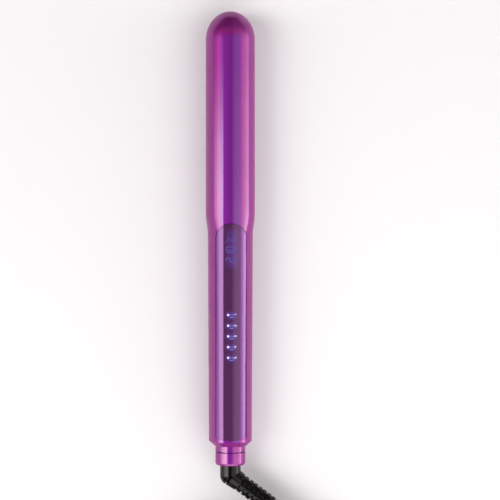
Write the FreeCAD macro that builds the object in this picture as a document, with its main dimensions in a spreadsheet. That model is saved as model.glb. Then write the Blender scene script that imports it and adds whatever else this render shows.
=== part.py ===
import FreeCAD, Part
import math
import os
import re

import Sketcher
from FreeCAD import Placement, Rotation, Vector

# Slim hair crimper, closed, lying on the crown of its lower shell. Millimetres.
# +Y runs along the tool to its tip, +Z is up through the display, z = 0 is the surface it lies on.
# Both arms are drawn in the arm frame: z = 0 at the parting line, crown upwards. The lower arm's
# pieces are the same drawings turned half a turn about the tool's long axis.

# Driving sizes, one cell of the sheet each
SIZES = {
    "tool_length": 288.0,  # tip to the end of the lock cup
    "arm_height": 14.5,  # parting line to the flat crown
    "waist_half_width": 14.3,  # where the handle begins
    "tail_half_width": 13.65,  # at the end of the handle
    "crown_half_flat": 5.0,  # flat crown that the tool rests on
    "tip_length": 18.0,  # rounded tip
    "shoulder_length": 14.0,  # narrows from the plate zone to the handle
    "collar_stack": 12.8,  # from the shells' rim to the end of the cup
    "taper_length": 2.9,  # the shells draw in over this at the tail
    "rim_wall": 0.85,  # round the tail's opening
    "wall": 2.0,
    "parting_gap": 0.5,  # between the two arms, closed
    "seat_gap": 0.3,  # between a piece and the wall it lies against
    "contact_gap": 0.05,  # between pieces that lie on each other
    "panel_half_width": 9.85,
    "panel_shoulder_gap": 6.8,  # from the shoulder back to the panel's arched end
    "panel_setback": 1.2,  # from the taper's edge to the panel's lower end
    "panel_bow": 1.7,  # the panel's lower end curves towards the tail by this
    "panel_arch": 8.0,  # height of the panel's arched top end
    "panel_inset": 0.2,  # the panel's face lies this far under the shell's
    "panel_depth": 1.1,  # the ledge that the panel lies on
    "panel_ledge": 2.25,
    "window_tail_gap": 19.9,  # from the hinge bracket to the opening for the lights
    "window_setback": 4.5,  # from the panel's arched end
    "plate_length": 100.0,
    "plate_half_width": 12.0,
    "plate_back_height": 3.0,  # parting line to the plate's back
    "plate_tip_gap": 4.0,  # from the rounded tip's start to the plate
    "plate_tail_gap": 6.0,  # from the plate to the shoulder
    "frame_rim": 1.0,  # the frame beside the plate
    "ridge_pitch": 4.0,
    "ridge_height": 0.9,  # half of a ridge's height
    "rail_inset": 0.6,  # rails on the plate's back that hold the clamp
    "rail_thickness": 1.4,
    "rail_lip": 0.6,
    "rail_groove": 0.7,
    "lug_inner": 2.6,
    "lug_outer": 5.5,
    "lug_length": 3.5,
    "lug_thickness": 1.5,
    "frame_thickness": 2.75,
    "heater_half_width": 7.0,
    "heater_thickness": 2.5,
    "heater_setback": 7.0,  # from the plate's end to the heater's
    "clamp_thickness": 1.2,
    "clamp_overhang": 3.0,
    "cushion_radius": 4.0,
    "cushion_setback": 15.0,
    "cover_thickness": 1.5,
    "cover_tail_clear": 14.2,  # from the rim to the inner cover's end
    "cover_screw_out": 9.4,
    "cover_screw_front": 10.0,  # behind the plate zone's end
    "cover_screw_tail": 25.0,  # ahead of the hinge line
    "boss_radius": 2.0,
    "shank_radius": 0.75,
    "shank_gap": 0.35,
    "head_radius": 1.7,
    "head_height": 0.9,
    "frame_screw_out": 8.0,
    "frame_screw_inset": 2.9,  # behind the plate's window
    "tip_screw_ahead": 5.5,  # ahead of the rounded tip's start
    "pivot_inset": 8.2,  # from the rim to the hinge line
    "pin_radius": 1.5,
    "pin_clearance": 0.04,
    "ear_radius": 3.2,
    "inner_ear_in": 6.4,
    "inner_ear_thickness": 2.0,
    "outer_ear_thickness": 2.3,
    "opening_angle": 11.0,  # degrees
    "bracket_top": 8.0,
    "bracket_thickness": 1.5,
    "bracket_length": 17.0,
    "bracket_screw_out": 5.5,
    "block_floor": 10.5,  # depth of the hinge block's base under the axis
    "block_thickness": 1.9,
    "block_half_width": 9.0,
    "block_length": 20.0,
    "block_wall": 1.8,
    "block_wall_radius": 9.0,
    "block_screw_out": 6.9,
    "collar_radius": 9.55,
    "collar_length": 3.8,  # the ring that shows
    "collar_lip": 0.4,  # the ring reaches this far into the shells
    "neck_radius": 7.8,
    "neck_end_gap": 0.8,  # from the neck to the cup's end wall
    "groove_width": 0.8,
    "cup_end_thickness": 2.2,
    "cup_corner": 1.6,
    "barrel_radius": 6.6,  # the strain relief where it shows
    "journal_radius": 5.4,  # and where it turns in the collar
    "flange_radius": 6.9,
    "flange_thickness": 1.8,
    "stem_radius": 3.9,
    "stem_length": 13.1,
    "ring_wall": 0.6,
    "ring_width": 2.0,
    "ring_pitch": 5.0,
    "ring_setback": 3.6,
    "brush_thickness": 0.4,
    "brush_gap": 0.1,
    "holder_half_width": 5.5,
    "lock_travel": 3.0,
    "hook_thickness": 0.8,
    "hook_half_width": 2.4,
    "hook_bite": 0.5,  # the hook's strip lies this far into the cup, under the neck
    "hook_reach": 30.0,  # from the rim to the hook's front
    "nose_length": 4.1,
    "spring_ahead": 32.0,  # the opening spring, ahead of the hinge line
    "spring_radius": 3.6,
    "spring_wire": 0.4,  # wire radius
    "spring_turns": 7,
    "pocket_gap": 0.6,
    "pocket_wall": 0.9,
    "pocket_depth": 5.2,
    "board_half_width": 7.0,
    "board_bracket_gap": 4.2,
    "board_thickness": 1.6,
    "board_height": 7.9,
    "post_radius": 1.6,
    "post_out": 4.8,
    "sleeve_out": 4.0,  # the sleeved wires beside the hinge
    "sleeve_radius": 1.1,
    "wire_radius": 0.7,
    "wire_out": 1.5,
    "elbow_drop": 6.6,  # from the cup to the corner of the elbow
    "elbow_angle": 53.13,
    "elbow_reach": 7.55,  # from the corner to the elbow's end
    "elbow_end_radius": 5.95,
    "boot_length": 42.0,
    "boot_core": 3.7,
    "boot_rib_radius": 5.75,
    "boot_end_radius": 4.3,
    "rib_pitch": 3.5,
    "rib_thickness": 2.3,
    "web_width": 2.6,  # webs bridge the slots between ribs, leaning left and right in turn
    "web_inset": 0.45,
    "cord_radius": 3.0,
    "coil_x": 11.8,
    "coil_y": -223.1,
    "coil_lift": 0.9,  # the tie under the coil
    "coil_outer": 38.2,  # to the middle of the cord
    "coil_step": 7.4,  # between turns, and between layers
    "coil_start_angle": -45.0,
    "tie_thickness": 0.7,
    "tie_width": 12.0,
    "tie_angle": 200.0,
    "plug_loop_radius": 33.0,
    "plug_loop_lead": 7.0,
    "plug_relief": 10.0,
    "plug_length": 24.0,
    "plug_half_width": 12.0,
    "plug_half_height": 7.5,
    "blade_length": 16.0,
    "blade_out": 6.35,
    "blade_half_height": 3.2,
    "blade_thickness": 1.5,
}

# Places worked out from the driving sizes
PLACES = {
    "tip_y": "tool_length / 2",
    "tip_start": "tip_y - tip_length",
    "plate_front": "tip_start - plate_tip_gap",
    "plate_back": "plate_front - plate_length",
    "shoulder_front": "plate_back - plate_tail_gap",
    "shoulder_back": "shoulder_front - shoulder_length",
    "cup_end": "-tool_length / 2",
    "rim_y": "cup_end + collar_stack",
    "taper_front": "rim_y + taper_length",
    "half_gap": "parting_gap / 2",
    "frame_side": "plate_half_width + seat_gap",
    "front_half_width": "frame_side + frame_rim + seat_gap + wall",
    "hinge_y": "rim_y + pivot_inset",
    "opening_sine": "sin(opening_angle * 1deg)",
    "rim_drop": "pivot_inset * opening_sine",
    "arch_radius": "collar_radius + seat_gap",
    "arch_lift": "rim_drop + 0.02 * arch_radius",
    "rim_half_width": "arch_radius + rim_wall",
    "rim_height": "arch_lift + arch_radius + rim_wall",
    "frame_top": "half_gap + frame_thickness",
    "cover_top": "half_gap + cover_thickness",
    "cover_front": "shoulder_front - seat_gap / 2",
    "cover_back": "rim_y + cover_tail_clear",
    "screw_front": "shoulder_front - cover_screw_front",
    "screw_back": "hinge_y + cover_screw_tail",
    "pilot_radius": "shank_radius + contact_gap",
    "shank_hole_radius": "shank_radius + shank_gap",
    "heater_low": "plate_back_height + contact_gap",
    "heater_top": "heater_low + heater_thickness",
    "clamp_low": "heater_top + contact_gap",
    "clamp_top": "clamp_low + clamp_thickness",
    "rail_outer": "plate_half_width - rail_inset",
    "rail_inner": "rail_outer - rail_thickness",
    "rail_height": "clamp_top + rail_lip",
    "crown_inside": "arm_height - wall",
    "inner_ear_out": "inner_ear_in + inner_ear_thickness",
    "outer_ear_in": "inner_ear_out + seat_gap",
    "outer_ear_out": "outer_ear_in + outer_ear_thickness",
    "collar_front": "rim_y + collar_lip",
    "collar_back": "rim_y - collar_length",
    "cup_front": "collar_back - groove_width",
    "cup_floor": "cup_end + cup_end_thickness",
    "neck_end": "cup_floor + neck_end_gap",
    "bore_radius": "journal_radius + seat_gap",
    "flange_front": "collar_front - seat_gap",
    "flange_back": "flange_front - flange_thickness",
    "stem_front": "flange_front + stem_length",
    "block_back": "collar_front",
    "block_wall_front": "block_back + block_wall",
    "block_front": "block_back + block_length",
    "block_top": "block_thickness - block_floor",
    "hook_depth": "neck_radius + hook_bite",
    "hook_top": "hook_thickness - hook_depth",
    "hook_front": "rim_y + hook_reach",
    "hook_rise": "cover_top + seat_gap",
    "spring_y": "hinge_y + spring_ahead",
    "pocket_radius": "spring_radius + spring_wire + pocket_gap",
    "bracket_front": "hinge_y - ear_radius + bracket_length",
    "bracket_low": "bracket_top - bracket_thickness",
    "panel_back": "taper_front + panel_setback",
    "panel_front": "shoulder_front - panel_shoulder_gap",
    "window_half_width": "panel_half_width - panel_ledge",
    "window_front": "panel_front - window_setback",
    "window_back": "bracket_front + window_tail_gap",
    "board_front": "window_front + seat_gap",
    "board_back": "bracket_front + board_bracket_gap",
    "board_top": "board_height + board_thickness",
    "post_front": "window_front - 26",
    "post_back": "board_back + 4 * post_radius",
    "elbow_corner": "cup_end - elbow_drop",
    "coil_low": "coil_lift + cord_radius",
    "coil_inner": "coil_outer - 1.5 * coil_step",
}

doc = FreeCAD.newDocument("hair_crimper")
sheet = doc.addObject("Spreadsheet::Sheet", "sizes")
for row, (name, number) in enumerate(SIZES.items(), start=1):
    sheet.set(f"A{row}", name)
    sheet.set(f"B{row}", str(number))
    sheet.setAlias(f"B{row}", name)
doc.recompute()
places = doc.addObject("App::VarSet", "places")


def bound(formula):
    """The formula with each size and place named in full, as an expression needs."""
    def full(match):
        word = match.group(0)
        if word in SIZES:
            return "sizes." + word
        return "places." + word if word in PLACES else word

    return re.sub(r"[a-z_]+", full, str(formula))


for name, formula in PLACES.items():
    places.addProperty("App::PropertyFloat", name)
for name, formula in PLACES.items():
    places.setExpression(name, bound(formula))
doc.recompute()


class Sizes:
    """Every size and place as a number, for the shapes that are made by Part's own functions."""


at = Sizes()
for name in SIZES:
    setattr(at, name, float(sheet.get(name)))
for name in PLACES:
    setattr(at, name, getattr(places, name))

NODES = {}


def bind(thing, **formulas):
    """Ties properties to formulas; x, y and z stand for the placement's base."""
    for key, formula in formulas.items():
        path = f"Placement.Base.{key}" if key in "xyz" else key
        thing.setExpression(path, bound(formula))
    return thing


def box(label, x, y, z):
    """A box between the low and high formulas of each axis."""
    made = doc.addObject("Part::Box", label)
    spans = [f"({high}) - ({low})" for low, high in (x, y, z)]
    return bind(made, Length=spans[0], Width=spans[1], Height=spans[2], x=x[0], y=y[0], z=z[0])


def wide(half):
    """Low and high formulas of a span that is centred on zero."""
    return f"-({half})", half


TURN = {
    "x": Rotation(Vector(0, 1, 0), 90),
    "y": Rotation(Vector(1, 0, 0), -90),
    "z": Rotation(),
}


def rod(label, axis, start, radius, length):
    """A cylinder from the start point along +X, +Y or +Z."""
    made = doc.addObject("Part::Cylinder", label)
    made.Placement = Placement(Vector(), TURN[axis])
    return bind(made, Radius=radius, Height=length, x=start[0], y=start[1], z=start[2])


def fuse(label, *pieces):
    made = doc.addObject("Part::MultiFuse", label)
    made.Shapes = list(pieces)
    return made


def cut(label, base, *tools):
    made = doc.addObject("Part::Cut", label)
    made.Base = base
    made.Tool = tools[0] if len(tools) == 1 else fuse(label + "_tools", *tools)
    return made


def common(label, first, second):
    made = doc.addObject("Part::Common", label)
    made.Base = first
    made.Tool = second
    return made


def group(label, pieces):
    """Identical fasteners as one node of separate solids."""
    made = doc.addObject("Part::Compound", label)
    made.Links = list(pieces)
    return made


def shaped(label, shape):
    made = doc.addObject("Part::Feature", label)
    made.Shape = shape
    return made


def node(name, made, arm="upper"):
    """Keeps a finished piece under its name, lifted from the arm frame to the tool's height."""
    if made.TypeId in ("Part::Box", "Part::Cylinder"):
        made.Label = name + "_form"
        made = group(name, [made])
    made.Label = name
    turn = Rotation(Vector(0, 1, 0), 180) if arm == "lower" else Rotation()
    made.Placement = Placement(Vector(0, 0, at.arm_height), turn)
    bind(made, z="arm_height")
    NODES[name] = made
    return made


def grounded(name, made):
    """Keeps a piece that is drawn from the floor up."""
    made.Label = name
    NODES[name] = made
    return made


def sketch_outline(body, plane, points):
    """A closed outline on an origin plane; each corner is tied to its two formulas."""
    sketch = body.newObject("Sketcher::SketchObject", body.Name + "_outline")
    origin = next(f for f in body.Origin.OriginFeatures if f.Role == plane)
    sketch.AttachmentSupport = (origin, [""])
    sketch.MapMode = "FlatFace"
    count = len(points)
    ring = [2 * math.pi * step / count for step in range(count)]
    corners = [Vector(10 * math.cos(angle), 10 * math.sin(angle), 0) for angle in ring]
    for step in range(count):
        sketch.addGeometry(Part.LineSegment(corners[step], corners[(step + 1) % count]), False)
    for step, (across, up) in enumerate(points):
        sketch.addConstraint(Sketcher.Constraint("Coincident", step - 1 if step else count - 1, 2, step, 1))
        for kind, formula in (("DistanceX", across), ("DistanceY", up)):
            number = sketch.addConstraint(Sketcher.Constraint(kind, -1, 1, step, 1, 1.0))
            sketch.setExpression(f"Constraints[{number}]", bound(formula))
    return sketch


def turned(label, axis, points):
    """A turned piece: its outline gives the place along the axis and the radius of each corner."""
    plane, line, swap = {
        "x": ("XY_Plane", "H_Axis", False),
        "y": ("YZ_Plane", "H_Axis", False),
        "z": ("XZ_Plane", "V_Axis", True),
    }[axis]
    body = doc.addObject("PartDesign::Body", label)
    outline = [(radius, along) if swap else (along, radius) for along, radius in points]
    sketch = sketch_outline(body, plane, outline)
    made = body.newObject("PartDesign::Revolution", label + "_turned")
    made.Profile = sketch
    made.ReferenceAxis = (sketch, [line])
    made.Angle = 360
    return body


def padded(label, points, front, length):
    """A bar along -Y from the front: its outline is drawn on the X and Z axes."""
    body = doc.addObject("PartDesign::Body", label)
    sketch = sketch_outline(body, "XZ_Plane", points)
    sketch.setExpression("AttachmentOffset.Base.z", bound(f"-({front})"))
    made = body.newObject("PartDesign::Pad", label + "_pad")
    made.Profile = sketch
    made.setExpression("Length", bound(length))
    return body


def half_round(along, half_width, height, half_flat):
    """The arm's cross-section: the parting line, two quarter ellipses and the flat crown."""
    quarters = []
    for side in (1, -1):
        top = Vector(side * half_flat, along, height)
        foot = Vector(side * half_width, along, 0)
        ellipse = Part.Ellipse(top, foot, Vector(side * half_flat, along, 0))
        quarters.append(Part.ArcOfEllipse(ellipse, 0, math.pi / 2).toShape())
    crown = Part.makeLine(Vector(half_flat, along, height), Vector(-half_flat, along, height))
    base = Part.makeLine(Vector(-half_width, along, 0), Vector(half_width, along, 0))
    return Part.Wire(Part.__sortEdges__([base, quarters[0], crown, quarters[1]]))


def arm_form(inset):
    """The arm's outside as a solid above the parting line, drawn in by inset all round."""
    height = at.arm_height - inset
    flat = at.crown_half_flat

    def section(along, half_width, tall=height, scale=1.0):
        return half_round(along, (half_width - inset) * scale, tall * scale, flat * scale)

    tip = []
    for share in (0, 0.3, 0.55, 0.75, 0.88, 0.96):
        along = at.tip_start + (at.tip_length - inset) * share
        tip.append(section(along, at.front_half_width, scale=math.sqrt(1 - share**2)))
    tip.append(Part.Vertex(Vector(0, at.tip_y - inset, 0)))
    shoulder = []
    for share in (0, 0.25, 0.5, 0.75, 1):
        ease = (1 - math.cos(math.pi * share)) / 2
        half_width = at.front_half_width + (at.waist_half_width - at.front_half_width) * ease
        shoulder.append(section(at.shoulder_front - at.shoulder_length * share, half_width))
    straight = [section(at.tip_start, at.front_half_width), shoulder[0]]
    handle = [shoulder[-1], section(at.taper_front, at.tail_half_width)]
    taper = [handle[-1], section(at.rim_y, at.rim_half_width, at.rim_height - inset)]
    stretches = [
        Part.makeLoft(straight, True, True),
        Part.makeLoft(shoulder, True, False),
        Part.makeLoft(handle, True, True),
        Part.makeLoft(taper, True, True),
    ]
    whole = Part.makeLoft(tip, True, False).fuse(stretches).removeSplitter()
    return whole.Solids[0]


def block(x, y, z):
    """A plain block between low and high numbers."""
    return Part.makeBox(x[1] - x[0], y[1] - y[0], z[1] - z[0], Vector(x[0], y[0], z[0]))


def post(x, y, low, high, radius):
    return Part.makeCylinder(radius, high - low, Vector(x, y, low))


FORM_OUTSIDE = arm_form(0)
FORM_INSIDE = arm_form(at.wall)
FORM_SEAT = arm_form(at.wall + at.seat_gap)
FORM_BOSS = arm_form(at.wall - at.seat_gap)
REACH = at.tool_length
SLEEVE_LEAD = 4.3  # from the stem's end to where the sleeved wires rise
HOLDER_TOP = -at.stem_radius - at.ring_wall - 3 * at.seat_gap


def cover_screw_spots():
    rows = (at.screw_front, at.screw_back)
    return [(side * at.cover_screw_out, row) for row in rows for side in (-1, 1)]


def frame_screw_spots():
    back = at.plate_back - at.frame_screw_inset
    tip = at.tip_start + at.tip_screw_ahead
    return [(-at.frame_screw_out, back), (at.frame_screw_out, back), (0, tip)]


def panel_outline(half_width, back, front, arch, bow=0):
    """The panel's outline in plan: straight sides, an arched front and a bowed or straight back."""
    corners = [Vector(-half_width, back + bow, 0), Vector(half_width, back + bow, 0)]
    foot = Part.Arc(corners[0], Vector(0, back, 0), corners[1]).toShape() if bow else Part.makeLine(*corners)
    shoulders = [Vector(half_width, front - arch, 0), Vector(-half_width, front - arch, 0)]
    crown = Part.Arc(shoulders[0], Vector(0, front, 0), shoulders[1]).toShape()
    lines = [foot, Part.makeLine(corners[1], shoulders[0]), crown, Part.makeLine(shoulders[1], corners[0])]
    return Part.Face(Part.Wire(lines)).extrude(Vector(0, 0, 2 * at.arm_height))


def bosses(spots, low, radius):
    """Screw bosses that stand on the shell's inside and reach down to the piece they hold."""
    stands = [post(x, y, low, at.arm_height, radius).common(FORM_BOSS) for x, y in spots]
    pilots = [post(x, y, low, low + 5, at.pilot_radius) for x, y in spots]
    return stands, pilots


def shell_shape(arm):
    """A shell: the arm's form, hollowed, open along the parting line and round the collar."""
    below = block((-REACH, REACH), (-REACH, REACH), (-REACH, at.half_gap))
    shell = FORM_OUTSIDE.cut([FORM_INSIDE, below])
    groups = [
        (cover_screw_spots(), at.cover_top + at.contact_gap),
        (frame_screw_spots(), at.frame_top + at.contact_gap),
    ]
    hinge_spots = bracket_spots() if arm == "upper" else block_spots()
    hinge_low = at.bracket_top if arm == "upper" else at.block_floor
    groups.append((hinge_spots, hinge_low + at.contact_gap))
    for spots, low in groups:
        stands, pilots = bosses(spots, low, at.boss_radius)
        shell = shell.fuse(stands).cut(pilots)
    shell = shell.cut(tail_opening(at.arch_lift if arm == "upper" else 0))
    if arm == "upper":
        shell = shell.cut(opening_wedge())
        recess = panel_outline(
            at.panel_half_width, at.panel_back, at.panel_front, at.panel_arch, at.panel_bow)
        shell = shell.cut(recess.cut(arm_form(at.panel_depth)))
        shell = shell.cut(panel_outline(at.window_half_width, at.window_back, at.window_front, at.panel_arch))
    return shell.removeSplitter()


def tail_opening(lift):
    """The arched opening round the collar, lifted in the arm that swings."""
    radius = at.arch_radius
    back = at.rim_y - 1
    feet = [Vector(-radius, back, -1), Vector(radius, back, -1)]
    springs = [Vector(radius, back, lift), Vector(-radius, back, lift)]
    crown = Part.Arc(springs[0], Vector(0, back, lift + radius), springs[1]).toShape()
    lines = [Part.makeLine(*feet), Part.makeLine(feet[1], springs[0])]
    lines += [crown, Part.makeLine(springs[1], feet[0])]
    return Part.Face(Part.Wire(lines)).extrude(Vector(0, at.taper_length + at.seat_gap + 1, 0))


def opening_wedge():
    """Room behind the hinge line, where the arm's edge swings down as the arm opens."""
    slope = math.tan(math.radians(at.opening_angle + 1))
    back = at.rim_y - 1
    rise = (at.hinge_y - back) * slope
    low = at.half_gap
    corners = [Vector(-REACH, at.hinge_y, low), Vector(-REACH, back, low), Vector(-REACH, back, low + rise)]
    face = Part.Face(Part.makePolygon(corners + corners[:1]))
    return face.extrude(Vector(2 * REACH, 0, 0))


def bracket_spots():
    along = at.bracket_front - 2 * at.boss_radius
    return [(-at.bracket_screw_out, along), (at.bracket_screw_out, along)]


def block_spots():
    along = at.block_front - 1.6 * at.boss_radius
    return [(-at.block_screw_out, along), (at.block_screw_out, along)]


def screws(name, spots, head_low, arm):
    """Pan-head screws that point at the crown; the head's underside lies on the piece it holds."""
    made = []
    for number, (x, y) in enumerate(spots):
        label = f"{name}_{number}"
        head = rod(label + "_head", "z", (x, y, f"{head_low} - head_height"), "head_radius", "head_height")
        shank = rod(label + "_shank", "z", (x, y, head_low), "shank_radius", "head_height * 5")
        foot = (x, y, f"{head_low} - head_height")
        slot = rod(label + "_slot", "z", foot, "head_radius / 2", "head_height / 2")
        made.append(cut(label, fuse(label + "_solid", head, shank), slot))
    return node(name, group(name, made), arm)


def screw_holes(spots, low, high):
    """Clearance holes through a plate, with a sunk seat for each head."""
    sink = low + at.head_height + at.contact_gap
    holes = [post(x, y, low - 1, high + 1, at.shank_hole_radius) for x, y in spots]
    return holes + [post(x, y, low - 1, sink, at.head_radius + at.seat_gap / 2) for x, y in spots]


def build_shells():
    for arm in ("upper", "lower"):
        node(f"{arm}_shell", shaped(f"{arm}_shell", shell_shape(arm)), arm)
    outline = panel_outline(
        at.panel_half_width - at.contact_gap,
        at.panel_back + at.contact_gap,
        at.panel_front - at.contact_gap,
        at.panel_arch,
        at.panel_bow,
    )
    skin = arm_form(at.panel_inset).cut(arm_form(at.panel_depth - at.contact_gap))
    node("display_panel", shaped("display_panel", outline.common(skin)))


def build_inner_cover(arm):
    """The flat cover that closes the handle, with the spring's pocket and the lock's window."""
    low, high = at.half_gap, at.cover_top
    slab = block((-REACH, REACH), (at.cover_back, at.cover_front), (low, high))
    cover = FORM_SEAT.common(slab)
    pocket_top = low + at.pocket_depth
    wall = post(0, at.spring_y, low, pocket_top + at.pocket_wall, at.pocket_radius + at.pocket_wall)
    cover = cover.fuse(wall)
    reach = at.sleeve_radius + at.seat_gap
    beside = at.sleeve_out if arm == "upper" else -at.sleeve_out
    notch_y = (at.cover_back - 1, at.stem_front + SLEEVE_LEAD + reach + 1.2)
    sleeve_notch = block((beside - reach, beside + reach), notch_y, (low - 1, high + 1))
    hook_side = at.hook_half_width + 2 * at.seat_gap
    if arm == "upper":
        window = (at.hook_front - at.nose_length - at.seat_gap - at.contact_gap, at.hook_front + 2.5)
        along = [(side * at.post_out, row) for row in (at.post_front, at.post_back) for side in (-1, 1)]
        stands = [post(x, y, low, at.board_height - at.contact_gap, at.post_radius) for x, y in along]
        cover = cover.fuse(stands).cut([post(x, y, high, REACH, at.pilot_radius) for x, y in along])
    else:
        travel = at.lock_travel + at.hook_thickness + 2 * at.seat_gap
        window = (at.hook_front - at.nose_length - 2 * at.seat_gap, at.hook_front + 2 * at.seat_gap)
        window = (min(window[0], window[1] - travel), window[1])
    hook_window = block((-hook_side, hook_side), window, (low - 1, high + 1))
    cuts = [post(0, at.spring_y, low - 1, pocket_top, at.pocket_radius), sleeve_notch, hook_window]
    cover = cover.cut(cuts + screw_holes(cover_screw_spots(), low, high))
    node(f"{arm}_inner_cover", shaped(f"{arm}_inner_cover", cover), arm)
    screws(f"{arm}_cover_screws", cover_screw_spots(), "half_gap + head_height + contact_gap", arm)


def build_plate_frame(arm):
    """The heat-proof frame round the plate; it fills the shell's mouth from shoulder to tip."""
    slab = block((-REACH, REACH), (at.shoulder_front + at.seat_gap / 2, REACH), (at.half_gap, at.frame_top))
    gap = at.seat_gap
    side = at.frame_side
    window = block((-side, side), (at.plate_back - gap, at.plate_front + gap), (-1, REACH))
    frame = FORM_SEAT.common(slab).cut([window] + screw_holes(frame_screw_spots(), at.half_gap, at.frame_top))
    node(f"{arm}_plate_frame", shaped(f"{arm}_plate_frame", frame), arm)
    screws(f"{arm}_frame_screws", frame_screw_spots(), "half_gap + head_height + contact_gap", arm)


def build_crimp_plate(arm):
    """The ridged plate: ridges run along the tool, and the two plates' ridges mesh."""
    label = f"{arm}_crimp_plate"
    count = int(round(2 * at.plate_half_width / at.ridge_pitch))
    pitch = f"(2 * plate_half_width / {count})"
    face = [("-plate_half_width", "half_gap")]
    for step in range(count):
        start = f"(-plate_half_width + {step} * {pitch})"
        face.append((f"{start} + {pitch} / 4", "half_gap + ridge_height"))
        face.append((f"{start} + {pitch} * 3 / 4", "half_gap - ridge_height"))
    face.append(("plate_half_width", "half_gap"))
    back = [("plate_half_width", "plate_back_height"), ("-plate_half_width", "plate_back_height")]
    web = padded(label + "_web", face + back, "plate_front", "plate_length")
    pieces = [web]
    span = ("plate_back + contact_gap", "plate_front - contact_gap")
    clear = "contact_gap"
    for side, sign in (("right", ""), ("left", "-")):
        low, high = (f"{sign}rail_inner", f"{sign}rail_outer")[:: 1 if not sign else -1]
        rail = box(f"{label}_{side}_rail", (low, high), span, ("plate_back_height - 0.5", "rail_height"))
        reach = (low, f"{low} + rail_groove") if not sign else (f"{high} - rail_groove", high)
        groove = (f"clamp_low - {clear}", f"clamp_top + {clear}")
        hollow = box(f"{label}_{side}_groove", reach, span, groove)
        pieces.append(cut(f"{label}_{side}_rail_cut", rail, hollow))
    lug_low = "frame_top + seat_gap"
    heights = (lug_low, f"{lug_low} + lug_thickness")
    foot = ("plate_back_height - 0.5", lug_low + " + 0.5")
    ends = {
        "front": (("plate_front - 2 * lug_length", "plate_front + lug_length"), "plate_front"),
        "back": (("plate_back - lug_length", "plate_back + 2 * lug_length"), "plate_back"),
    }
    for end, (along, edge) in ends.items():
        inner = (along[0], edge) if end == "front" else (edge, along[1])
        for side, across in (("right", ("lug_inner", "lug_outer")), ("left", ("-lug_outer", "-lug_inner"))):
            pieces.append(box(f"{label}_{end}_{side}_lug", across, along, heights))
            pieces.append(box(f"{label}_{end}_{side}_foot", across, inner, foot))
    node(label, fuse(label, *pieces), arm)


def build_heater(arm):
    along = ("plate_back + heater_setback", "plate_front - heater_setback")
    heater = box(f"{arm}_heater", wide("heater_half_width"), along, ("heater_low", "heater_top"))
    node(f"{arm}_heater", heater, arm)
    along = (f"{along[0]} - clamp_overhang", f"{along[1]} + clamp_overhang")
    side = wide("rail_inner + rail_groove - 2 * contact_gap")
    clamp = box(f"{arm}_heater_clamp", side, along, ("clamp_low", "clamp_top"))
    node(f"{arm}_heater_clamp", clamp, arm)
    pads = []
    for number, y in enumerate(("plate_back + cushion_setback", "plate_front - cushion_setback")):
        height = "crown_inside - clamp_top - 2 * contact_gap"
        start = (0, y, "clamp_top + contact_gap")
        pads.append(rod(f"{arm}_cushion_{number}", "z", start, "cushion_radius", height))
    node(f"{arm}_plate_cushions", group(f"{arm}_plate_cushions", pads), arm)
    middle = "(plate_back + plate_front) / 2"
    bead = box(
        f"{arm}_thermistor",
        ("3", "6"),
        (f"{middle} - 4", f"{middle} + 3"),
        ("clamp_top + contact_gap", "clamp_top + contact_gap + 1.8"),
    )
    node(f"{arm}_thermistor", bead, arm)
    start = (-5, f"{middle} - 6", "clamp_top + contact_gap + 1.9")
    node(f"{arm}_thermal_fuse", rod(f"{arm}_thermal_fuse", "y", start, 1.9, 12), arm)


def tube(points, radius, share=0.45, report=None):
    """A round tube along straight runs joined by tangent arcs.

    Each arc's radius is the share of the shorter run divided by the tangent of half the turn.
    """
    corners = [Vector(*point) for point in points]
    edges = []
    last = corners[0]
    smallest = math.inf
    for before, corner, after in zip(corners, corners[1:], corners[2:]):
        arrive = (corner - before).normalize()
        leave = (after - corner).normalize()
        half = math.acos(max(-1.0, min(1.0, arrive.dot(leave)))) / 2
        reach = share * min((corner - before).Length, (after - corner).Length)
        bend = reach / math.tan(half)
        smallest = min(smallest, bend)
        start = corner - arrive * reach
        end = corner + leave * reach
        inward = ((start + end) * 0.5 - corner).normalize()
        middle = corner + inward * (bend / math.cos(half) - bend)
        edges += [Part.LineSegment(last, start).toShape(), Part.Arc(start, middle, end).toShape()]
        last = end
    edges.append(Part.LineSegment(last, corners[-1]).toShape())
    path = Part.Wire(edges)
    along = (corners[1] - corners[0]).normalize()
    ring = Part.Wire(Part.makeCircle(radius, corners[0], along))
    solid = path.makePipeShell([ring], True, False)
    exact = math.pi * radius**2 * path.Length
    if report:
        print(f"{report}: length {path.Length:.1f}, smallest bend {smallest:.1f}")
        print(f"{report}: volume {solid.Volume:.1f} for {exact:.1f}")
    return solid


def build_wires(arm):
    """Two leads from the heater: to the board in the upper arm, to the hinge in the lower."""
    height = (at.heater_low + at.heater_top) / 2
    start = at.plate_back + at.heater_setback - at.contact_gap
    leads = []
    for side in (-1, 1):
        x = side * at.wire_out
        route = [(x, start, height)]
        if arm == "upper":
            top = at.board_height - at.contact_gap
            near = at.board_front - 7
            route += [(x, start - 14, height), (x, near, height + 0.6), (x, near, top)]
        else:
            clear = at.pocket_radius + at.pocket_wall + at.wire_radius + at.seat_gap
            near = at.holder_half_width - at.wire_radius - at.contact_gap
            rest = -HOLDER_TOP - at.wire_radius - at.contact_gap
            route += [(x, at.spring_y + 26, height), (side * clear, at.spring_y + 12, height)]
            route += [(side * clear, at.stem_front + 5, height), (side * near, at.stem_front + 0.7, rest)]
            route += [(side * near, at.stem_front - 1.5, rest)]
        leads.append(tube(route, at.wire_radius))
    node(f"{arm}_heater_wires", shaped(f"{arm}_heater_wires", Part.Compound(leads)), arm)


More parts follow.
